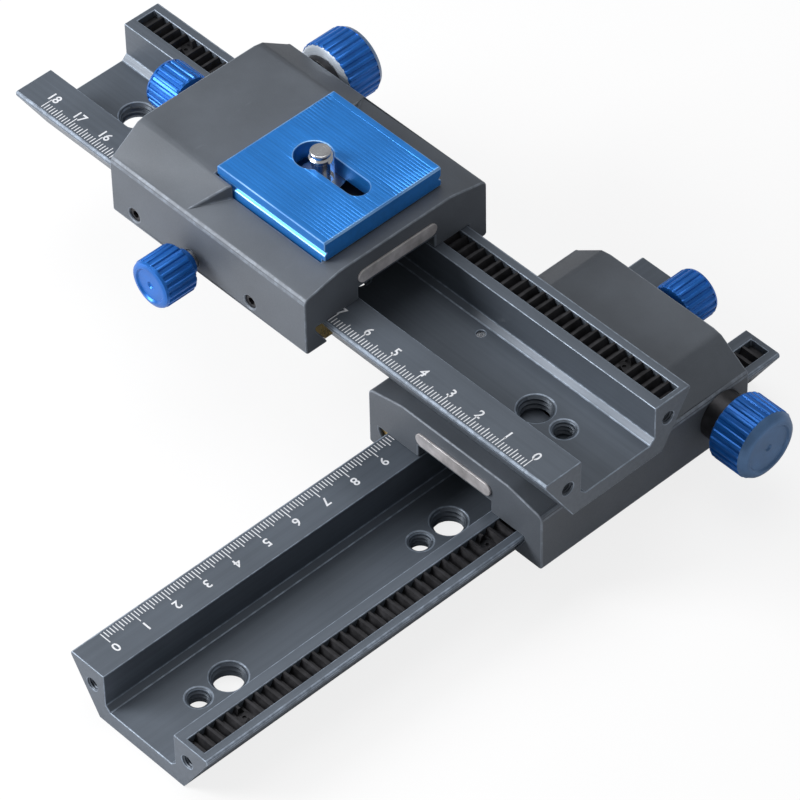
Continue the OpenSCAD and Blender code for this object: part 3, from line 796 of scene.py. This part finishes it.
class FOCUSRAIL_OT_threads(bpy.types.Operator):
    """Winds the threads of the tripod holes, the end screw holes and the camera screw"""

    bl_idname = "focus_rail.threads"
    bl_label = "Threads"

    def execute(self, context):
        tree = thread_tree()
        for side in SIDES:
            slide = Slide(side)
            finish = MADE[side + "_rail_finish"]
            pieces = []
            for radius, pitch in ((LARGE_HOLE, COARSE_PITCH), (SMALL_HOLE, CAMERA_PITCH)):
                holes = [hole for hole in tripod_holes(slide) if hole[2] == radius]
                depth = holes[0][3]
                inset = depth + THREAD_INSET
                points = [slide.matrix @ Vector((x, y, inset - slide.rail_h)) for x, y, _, _ in holes]
                height = TRIPOD_THREAD_L - inset
                shape = (radius + depth, depth, pitch, height, (0.0, 0.0, 0.0))
                pieces.append(self.wind(tree, points, *shape, finish))
            depth = sizes().fine_thread_depth
            inset = depth + THREAD_INSET
            for end, lean in ((inset, -90.0), (slide.rail_l - inset, 90.0)):
                spots = [(across, end, -END_HOLE_DROP) for across in (-END_HOLE_X, END_HOLE_X)]
                points = [slide.matrix @ Vector(spot) for spot in spots]
                leaned = Matrix.Rotation(math.radians(lean), 3, "X")
                turn = (slide.matrix.to_3x3().normalized() @ leaned).to_euler()
                shape = (END_HOLE + depth, depth, END_PITCH, END_THREAD_L, tuple(turn))
                pieces.append(self.wind(tree, points, *shape, finish))
            piece = joined(side + "_tripod_threads", pieces, [finish])
            smooth(piece.data)
            dress(piece, slide.rail_body, "rail_anodised")
        self.camera_screw(tree)
        return {"FINISHED"}

    def wind(self, tree, points, radius, ridge, pitch, height, turn, finish):
        """A ridge of a thread at each point; it starts there and runs along the turned Z axis."""
        piece = put("thread", mesh_of("thread", points, []), [])
        values = {
            "Radius": radius * MM,
            "Ridge": ridge * MM,
            "Turns": height / pitch,
            "Height": height * MM,
            "Turn": turn,
            "Material": finish,
        }
        return tree.run(piece, values)

    def camera_screw(self, tree):
        """The camera screw with a real thread round its narrowed shank."""
        low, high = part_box("camera_screw")
        middle = (low + high) / 2
        steel = colours().steel
        finish = once("camera_screw_finish", turned_finish, steel, tuple(middle), "Z", 1.0, (0.16, 0.3))
        depth = sizes().thread_depth
        core = CAMERA_SCREW - depth

        def narrow(work):
            for vertex in work.verts:
                away = Vector((vertex.co.x - middle.x, vertex.co.y - middle.y, 0.0))
                if abs(away.length / MM - CAMERA_SCREW) < ON_WALL:
                    vertex.co.xy = (middle + away.normalized() * core * MM).xy

        shank = softened("camera_screw", "shank", sizes().small_edge, [finish], narrow)
        turned, bare_tip = 1.9, 1.0
        start = Vector((middle.x, middle.y, high.z - (turned + bare_tip) * MM))
        ridge = self.wind(tree, [start], core, depth, CAMERA_PITCH, turned, (0.0, 0.0, 0.0), finish)
        piece = joined("camera_screw_threaded", [shank, ridge], [finish])
        smooth(piece.data)
        dress(piece, "camera_screw_body", "bright_steel", "camera_screw")


class FOCUSRAIL_OT_carriages(bpy.types.Operator):
    """Rounds the carriages' edges and gives them their paint"""

    bl_idname = "focus_rail.carriages"
    bl_label = "Carriages"

    def execute(self, context):
        tones = pair("casting_finish", "casting_edge_finish", casting_finish, colours().casting)
        for side in SIDES:
            name = side + "_carriage_casting"
            piece = softened(side + "_carriage", name, sizes().casting_edge, tones, segments=3)
            dress(piece, Slide(side).carriage_body, "carriage_paint", side + "_carriage")
        return {"FINISHED"}


class FOCUSRAIL_OT_plates(bpy.types.Operator):
    """Makes the grooved camera plate and the mounting plate"""

    bl_idname = "focus_rail.plates"
    bl_label = "Plates"

    def execute(self, context):
        tones = pair("plate_finish", "plate_edge_finish", plate_finish, colours().blue)
        grooves = self.grooves(tones[0])
        piece = softened("camera_plate", "camera_plate_top", sizes().plate_edge, tones)
        cut = piece.modifiers.new("grooves", "BOOLEAN")
        cut.operation = "DIFFERENCE"
        cut.solver = "EXACT"
        cut.object = grooves
        baked(piece)
        bpy.data.objects.remove(grooves)
        flattened(piece, math.radians(20))
        dress(piece, "upper_slider", "blue_anodised", "camera_plate")
        tones = pair("mount_plate_finish", "mount_plate_edge_finish", extruded_finish, colours().rail, "X")
        piece = softened("mount_plate", "mount_plate_body", sizes().plate_edge, tones)
        dress(piece, "cross_stage", "rail_anodised", "mount_plate")
        return {"FINISHED"}

    def grooves(self, finish):
        """A row of bars that cut the plate's parallel grooves, which run along X."""
        low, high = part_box("camera_plate")
        pitch, depth = sizes().rib_pitch * MM, sizes().rib_depth * MM
        margin = 1.4 * MM
        count = int((high.y - low.y - 2 * margin) / pitch)
        first = (low.y + high.y) / 2 - pitch * (count - 1) / 2
        half = depth * 1.1
        clear = 1.0 * MM
        corners = [(-half, clear), (-half, 0.0), (0.0, -depth), (half, 0.0), (half, clear)]
        section = [(x, z + high.z) for x, z in corners]
        start, end = low.x - clear, high.x + clear
        mesh = prism("groove_bar", section, start, end)
        mesh.transform(Matrix(((0, 1, 0, 0), (1, 0, 0, first), (0, 0, 1, 0), (0, 0, 0, 1))))
        mesh.flip_normals()
        bars = put("groove_bars", mesh, [])
        return groove_tree().run(bars, {"Count": count, "Step": (0.0, pitch, 0.0), "Material": finish})


class FOCUSRAIL_OT_knobs(bpy.types.Operator):
    """Turns the fluted knobs"""

    bl_idname = "focus_rail.knobs"
    bl_label = "Knobs"

    # node, flutes, bevel at the outer end, neck, body, direction out of the carriage
    KINDS = (
        ("drive_knob", 28, 2.0, 0.0, "drive", (1, 0, 0)),
        ("lock_knob", 20, 1.0, 2.4, "lock", (-1, 0, 0)),
        ("clamp_knob", 20, 1.0, 2.4, "clamp", (0, 1, 0)),
    )

    def execute(self, context):
        tree = ring_tree()
        for side in SIDES:
            slide = Slide(side)
            for name, flutes, edge, neck, body, lane in self.KINDS:
                self.make(slide, tree, name, flutes, edge, neck, side + "_" + body, Vector(lane))
        return {"FINISHED"}

    def make(self, slide, tree, name, flutes, edge, neck, body, lane):
        low, high = slide.box(name)
        size = high - low
        axis = 0 if abs(lane.x) > 0.5 else 1
        long_l = size[axis] - neck
        radius = size.z / 2
        centre = (low + high) / 2
        root = centre.copy()
        root[axis] = (low if lane[axis] > 0 else high)[axis] + lane[axis] * neck
        turn = Vector((0, 0, 1)).rotation_difference(lane).to_matrix().to_4x4()
        place = slide.matrix @ Matrix.Translation(root) @ turn
        letter = slide.across if axis == 0 else slide.along
        turned = (tuple(slide.matrix @ root), letter, 0.5)
        tone = once(body + "_knob_finish", turned_finish, colours().knob, *turned, (0.26, 0.42))
        depth = sizes().flute_depth
        core = radius - depth
        foot, dish, rim = 0.8, 0.45, 0.9
        neck_r, neck_bevel = 3.8, 0.3
        dimple_r, dimple_floor_r, dimple_depth = 1.1, 0.7, 0.4
        shoulder, face_r, face_h = long_l - edge, radius - edge, long_l - dish
        outline = [(0.0, -neck)]
        if neck:
            outline += [(neck_r - neck_bevel, -neck), (neck_r, neck_bevel - neck), (neck_r, 0.0)]
        outline += [
            (core - foot, 0.0),
            (core, foot * 0.6),
            (core, shoulder - 0.1),
            (core + depth * 0.6, shoulder),
            (radius - 0.45 * edge, long_l - 0.35 * edge),
            (face_r, long_l - 0.08),
            (face_r - 0.25, long_l),
            (face_r - rim, long_l),
            (face_r - rim - dish, face_h),
            (dimple_r, face_h),
            (dimple_floor_r, face_h - dimple_depth),
            (0.0, face_h - dimple_depth),
        ]
        core_piece = put("core", lathed("core", outline, 96), [tone])
        ribs = put("ribs", self.rib(core, radius, shoulder, foot, flutes), [tone])
        tree.run(ribs, {"Count": flutes, "Material": tone})
        tones = [tone]
        if name == "drive_knob":
            inner = (colours().bevel, *turned, (0.3, 0.45))
            # the outer faces get a lighter, greyer blue than the body: painted light
            outer = (colours().knob_end, *turned, (0.3, 0.5))
            tones.append(once(body + "_inner_face_finish", turned_finish, *inner))
            tones.append(once(body + "_outer_face_finish", turned_finish, *outer))
        piece = joined(slide.side + "_" + name + "_fluted", [core_piece, ribs], tones)
        if len(tones) > 1:
            for face in piece.data.polygons:
                if face.center.z < foot * 0.45:
                    face.material_index = 1
                elif face.center.z > shoulder:
                    face.material_index = 2
        piece.data.transform(place)
        smooth(piece.data, math.radians(36))
        dress(piece, body, "blue_anodised", slide.side + "_" + name)

    def rib(self, core, radius, shoulder, foot, flutes):
        """One rounded rib between two flutes, with run-outs at both ends."""
        half = math.pi * radius / flutes * 0.62
        crest = half * 0.62
        sunk = core - 0.1
        stations = [
            (foot * 0.45, core),
            (foot, radius - 0.08),
            (foot + 0.2, radius),
            (shoulder - 0.25, radius),
            (shoulder, radius - 0.1),
            (shoulder + 0.35, core + 0.02),
        ]
        points, faces = [], []
        for height, top in stations:
            section = [(-half, sunk), (-half, core), (-crest, top - 0.06), (-crest * 0.5, top)]
            section += [(crest * 0.5, top), (crest, top - 0.06), (half, core), (half, sunk)]
            points += [(max(r, sunk), t, height) for t, r in section]
        width = 8
        for row in range(len(stations) - 1):
            for i in range(width):
                a, b = row * width + i, row * width + (i + 1) % width
                faces.append((a, b, b + width, a + width))
        faces.append(tuple(range(width - 1, -1, -1)))
        faces.append(tuple(range((len(stations) - 1) * width, len(stations) * width)))
        return outward(mesh_of("rib", points, faces))


class FOCUSRAIL_OT_scales(bpy.types.Operator):
    """Prints a millimetre scale with numbers on each rail"""

    bl_idname = "focus_rail.scales"
    bl_label = "Scales"

    def execute(self, context):
        tree = tick_tree()
        paint = once("scale_paint", paint_finish, colours().paint)
        for side in SIDES:
            slide = Slide(side)
            edge = -slide.rail_w / 2
            inset = getattr(sizes(), side + "_numeral_inset")
            count = 10 * int((slide.rail_l - 2 * sizes().scale_start) / 10) + 1
            half, high = sizes().tick_width / 2, sizes().paint_height
            tick_l, tick_inset = 2.2, 1.0
            corners = [(0.0, 0.0), (0.0, high), (tick_l, high), (tick_l, 0.0)]
            mark = prism("mark", corners, -half, half)
            marks = put("marks", mark, [paint])
            growth = {"Fifth": 1.35, "Tenth": 1.7}
            tree.run(marks, {"Count": count, "Step": (0.0, 1.0, 0.0), "Material": paint, **growth})
            marks.data.transform(Matrix.Translation((edge + tick_inset, sizes().scale_start, 0.0)))
            pieces = [marks]
            for tens in range(count // 10 + 1):
                pieces.append(self.numeral(str(tens), paint, edge + inset, tens * 10.0))
            piece = joined(side + "_rail_scale", pieces, [paint])
            piece.data.transform(slide.matrix)
            dress(piece, slide.rail_body, "label_plate")
        return {"FINISHED"}

    def numeral(self, words, paint, across, along):
        """One number as a thin mesh, readable from the rail's scale side."""
        font = bpy.data.curves.new("numeral", "FONT")
        font.body = words
        font.align_x = "CENTER"
        font.align_y = "CENTER"
        digit_share = 0.7
        font.size = sizes().numeral_height / digit_share
        font.resolution_u = 3
        font.offset = 0.06
        font.extrude = sizes().paint_height / 2
        text = linked("numeral", font)
        mesh = evaluated_mesh(text)
        bpy.data.objects.remove(text)
        bpy.data.curves.remove(font)
        spot = Vector((across, sizes().scale_start + along, sizes().paint_height / 2))
        mesh.transform(Matrix.Translation(spot) @ Matrix.Rotation(math.radians(-90), 4, "Z"))
        return put("numeral", mesh, [paint])


class FOCUSRAIL_OT_small_pieces(bpy.types.Operator):
    """Rounds and finishes the small pieces that the frame carries"""

    bl_idname = "focus_rail.small_pieces"
    bl_label = "Small pieces"

    OXIDE = ("gib_screws", "drive_grub", "rack", "rack_screws")
    STEEL = ("drive_shaft", "pinion", "lock_screw", "clamp_screw")
    BRASS = ("gib", "lock_pad")

    def execute(self, context):
        blacks = pair("black_oxide", "black_oxide_edge", oxide_finish, colours().black)
        steel = once("bright_steel", metal_finish, colours().steel)
        brass = once("brass_finish", metal_finish, colours().brass)
        label = once("label_finish", label_finish, colours().label)
        for side in SIDES:
            carriage = Slide(side).carriage_body
            self.soften(side + "_drive_bush", carriage, "black_steel", blacks)
            self.soften(side + "_clamp_jaw", side + "_jaw", "black_steel", blacks)
            for names, tone in ((self.OXIDE, blacks[0]), (self.STEEL, steel), (self.BRASS, brass)):
                for name in names:
                    self.finish(side + "_" + name, tone)
            self.soften(side + "_nameplate", carriage, "label_plate", [label, label])
        self.finish("rail_bolts", blacks[0])
        self.finish("locating_pin", steel)
        self.finish("screw_washer", MADE["camera_screw_finish"])
        return {"FINISHED"}

    def soften(self, node, body, slot_name, tones):
        piece = softened(node, node + "_rounded", sizes().small_edge, tones)
        dress(piece, body, slot_name, node)

    def finish(self, node, tone):
        for slot in frame["nodes"][node].material_slots:
            slot.link = "OBJECT"
            slot.material = tone


class FOCUSRAIL_OT_studio(bpy.types.Operator):
    """Sets the floor, the soft lamps, the surrounding light and the camera"""

    bl_idname = "focus_rail.studio"
    bl_label = "Studio"

    # places from the camera's aim, and widths, in metres
    KEY_PLACE, KEY_WIDTH = Vector((-0.48, -0.6, 0.45)), 0.45
    TOP_PLACE, TOP_WIDTH = Vector((-0.25, 0.1, 1.2)), 0.9

    def execute(self, context):
        studio = context.scene.focus_rail_studio
        context.scene.view_settings.view_transform = "Standard"
        self.world(studio)
        self.floor(studio)
        self.lamp("key_lamp", self.KEY_PLACE, self.KEY_WIDTH, studio.key, studio)
        self.lamp("top_lamp", self.TOP_PLACE, self.TOP_WIDTH, studio.fill, studio)
        self.camera(studio)
        return {"FINISHED"}

    def world(self, studio):
        world = bpy.data.worlds.new("surroundings")
        bpy.context.scene.world = world
        world.use_nodes = True
        sky = Nodes(world.node_tree)
        rays = sky.node("ShaderNodeLightPath").outputs
        seen = sky.math("MAXIMUM", rays["Is Camera Ray"], rays["Is Transmission Ray"])
        bright = {"Value": seen, "To Min": studio.sky, "To Max": 1.0}
        strength = sky.node("ShaderNodeMapRange", None, bright)
        light = {"Color": (1.0, 1.0, 1.0), "Strength": strength.outputs[0]}
        background = sky.node("ShaderNodeBackground", None, light)
        sky.node("ShaderNodeOutputWorld", None, {0: background.outputs[0]})

    def floor(self, studio):
        reach, low = 3.0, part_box("lower_rail")[0].z
        corners = [(-reach, -reach, low), (reach, -reach, low), (reach, reach, low), (-reach, reach, low)]
        finish = Finish("floor_finish")
        patches = finish.noise(2.0, 3.0)
        tone = finish.mix(patches * 0.1, (0.86, 0.86, 0.87), (0.9, 0.9, 0.9))
        matte = finish.node("ShaderNodeBsdfDiffuse", None, {"Color": tone})
        glow = finish.node("ShaderNodeEmission", None, {"Color": (1.0, 1.0, 1.0), "Strength": 1.0})
        path = finish.node("ShaderNodeLightPath")
        seen = Value(finish, path.outputs["Is Camera Ray"]) * studio.floor_glow
        mixed = finish.node("ShaderNodeMixShader", None, {0: seen, 1: matte.outputs[0], 2: glow.outputs[0]})
        finish.node("ShaderNodeOutputMaterial", None, {"Surface": mixed.outputs[0]})
        floor = put("studio_floor", mesh_of("studio_floor", corners, [(0, 1, 2, 3)]), [finish.material])

    def lamp(self, name, place, size, power, studio):
        light = bpy.data.lights.new(name, "AREA")
        light.shape = "DISK"
        light.size = size
        light.energy = power
        lamp = linked(name, light)
        target = Vector(studio.aim)
        lamp.location = place + target
        lamp.rotation_euler = (-place).to_track_quat("-Z", "Y").to_euler()

    def camera(self, studio):
        azimuth, elevation, roll = studio.azimuth, studio.elevation, studio.roll
        level = math.cos(elevation)
        back = Vector((math.sin(azimuth) * level, -math.cos(azimuth) * level, math.sin(elevation)))
        right = Vector((math.cos(azimuth), math.sin(azimuth), 0.0))
        up = back.cross(right)
        across = math.cos(roll) * right + math.sin(roll) * up
        upward = math.cos(roll) * up - math.sin(roll) * right
        data = bpy.data.cameras.new("studio_camera")
        data.lens = studio.lens
        data.sensor_width = 36.0
        data.clip_start = 0.05
        camera = linked("studio_camera", data)
        place = Vector(studio.aim) + back * studio.distance
        facing = Matrix((across, upward, back)).transposed().to_4x4()
        camera.matrix_world = Matrix.Translation(place) @ facing
        bpy.context.scene.camera = camera


class FOCUSRAIL_PT_panel(bpy.types.Panel):
    """Lists the steps that dress the focusing rail"""

    bl_idname = "FOCUSRAIL_PT_panel"
    bl_label = "Focusing Rail"
    bl_space_type = "VIEW_3D"
    bl_region_type = "UI"
    bl_category = "Focusing Rail"

    def draw(self, context):
        for operator in OPERATORS:
            self.layout.operator(operator.bl_idname)
        for group in ("focus_rail_sizes", "focus_rail_colours", "focus_rail_studio"):
            settings = getattr(context.scene, group)
            box = self.layout.box()
            for name in settings.__annotations__:
                box.prop(settings, name)


GROUPS = {
    "focus_rail_sizes": FocusRailSizes,
    "focus_rail_colours": FocusRailColours,
    "focus_rail_studio": FocusRailStudio,
}
OPERATORS = (
    FOCUSRAIL_OT_rails,
    FOCUSRAIL_OT_threads,
    FOCUSRAIL_OT_carriages,
    FOCUSRAIL_OT_plates,
    FOCUSRAIL_OT_knobs,
    FOCUSRAIL_OT_scales,
    FOCUSRAIL_OT_small_pieces,
    FOCUSRAIL_OT_studio,
)


def register():
    for name, group in GROUPS.items():
        bpy.utils.register_class(group)
        setattr(bpy.types.Scene, name, bpy.props.PointerProperty(type=group))
    for item in (*OPERATORS, FOCUSRAIL_PT_panel):
        bpy.utils.register_class(item)


def unregister():
    for item in reversed((*OPERATORS, FOCUSRAIL_PT_panel)):
        bpy.utils.unregister_class(item)
    for name, group in GROUPS.items():
        delattr(bpy.types.Scene, name)
        bpy.utils.unregister_class(group)


def main():
    """Runs every step in order."""
    register()
    for operator in OPERATORS:
        package, name = operator.bl_idname.split(".")
        getattr(getattr(bpy.ops, package), name)()


if __name__ == "__main__":
    main()
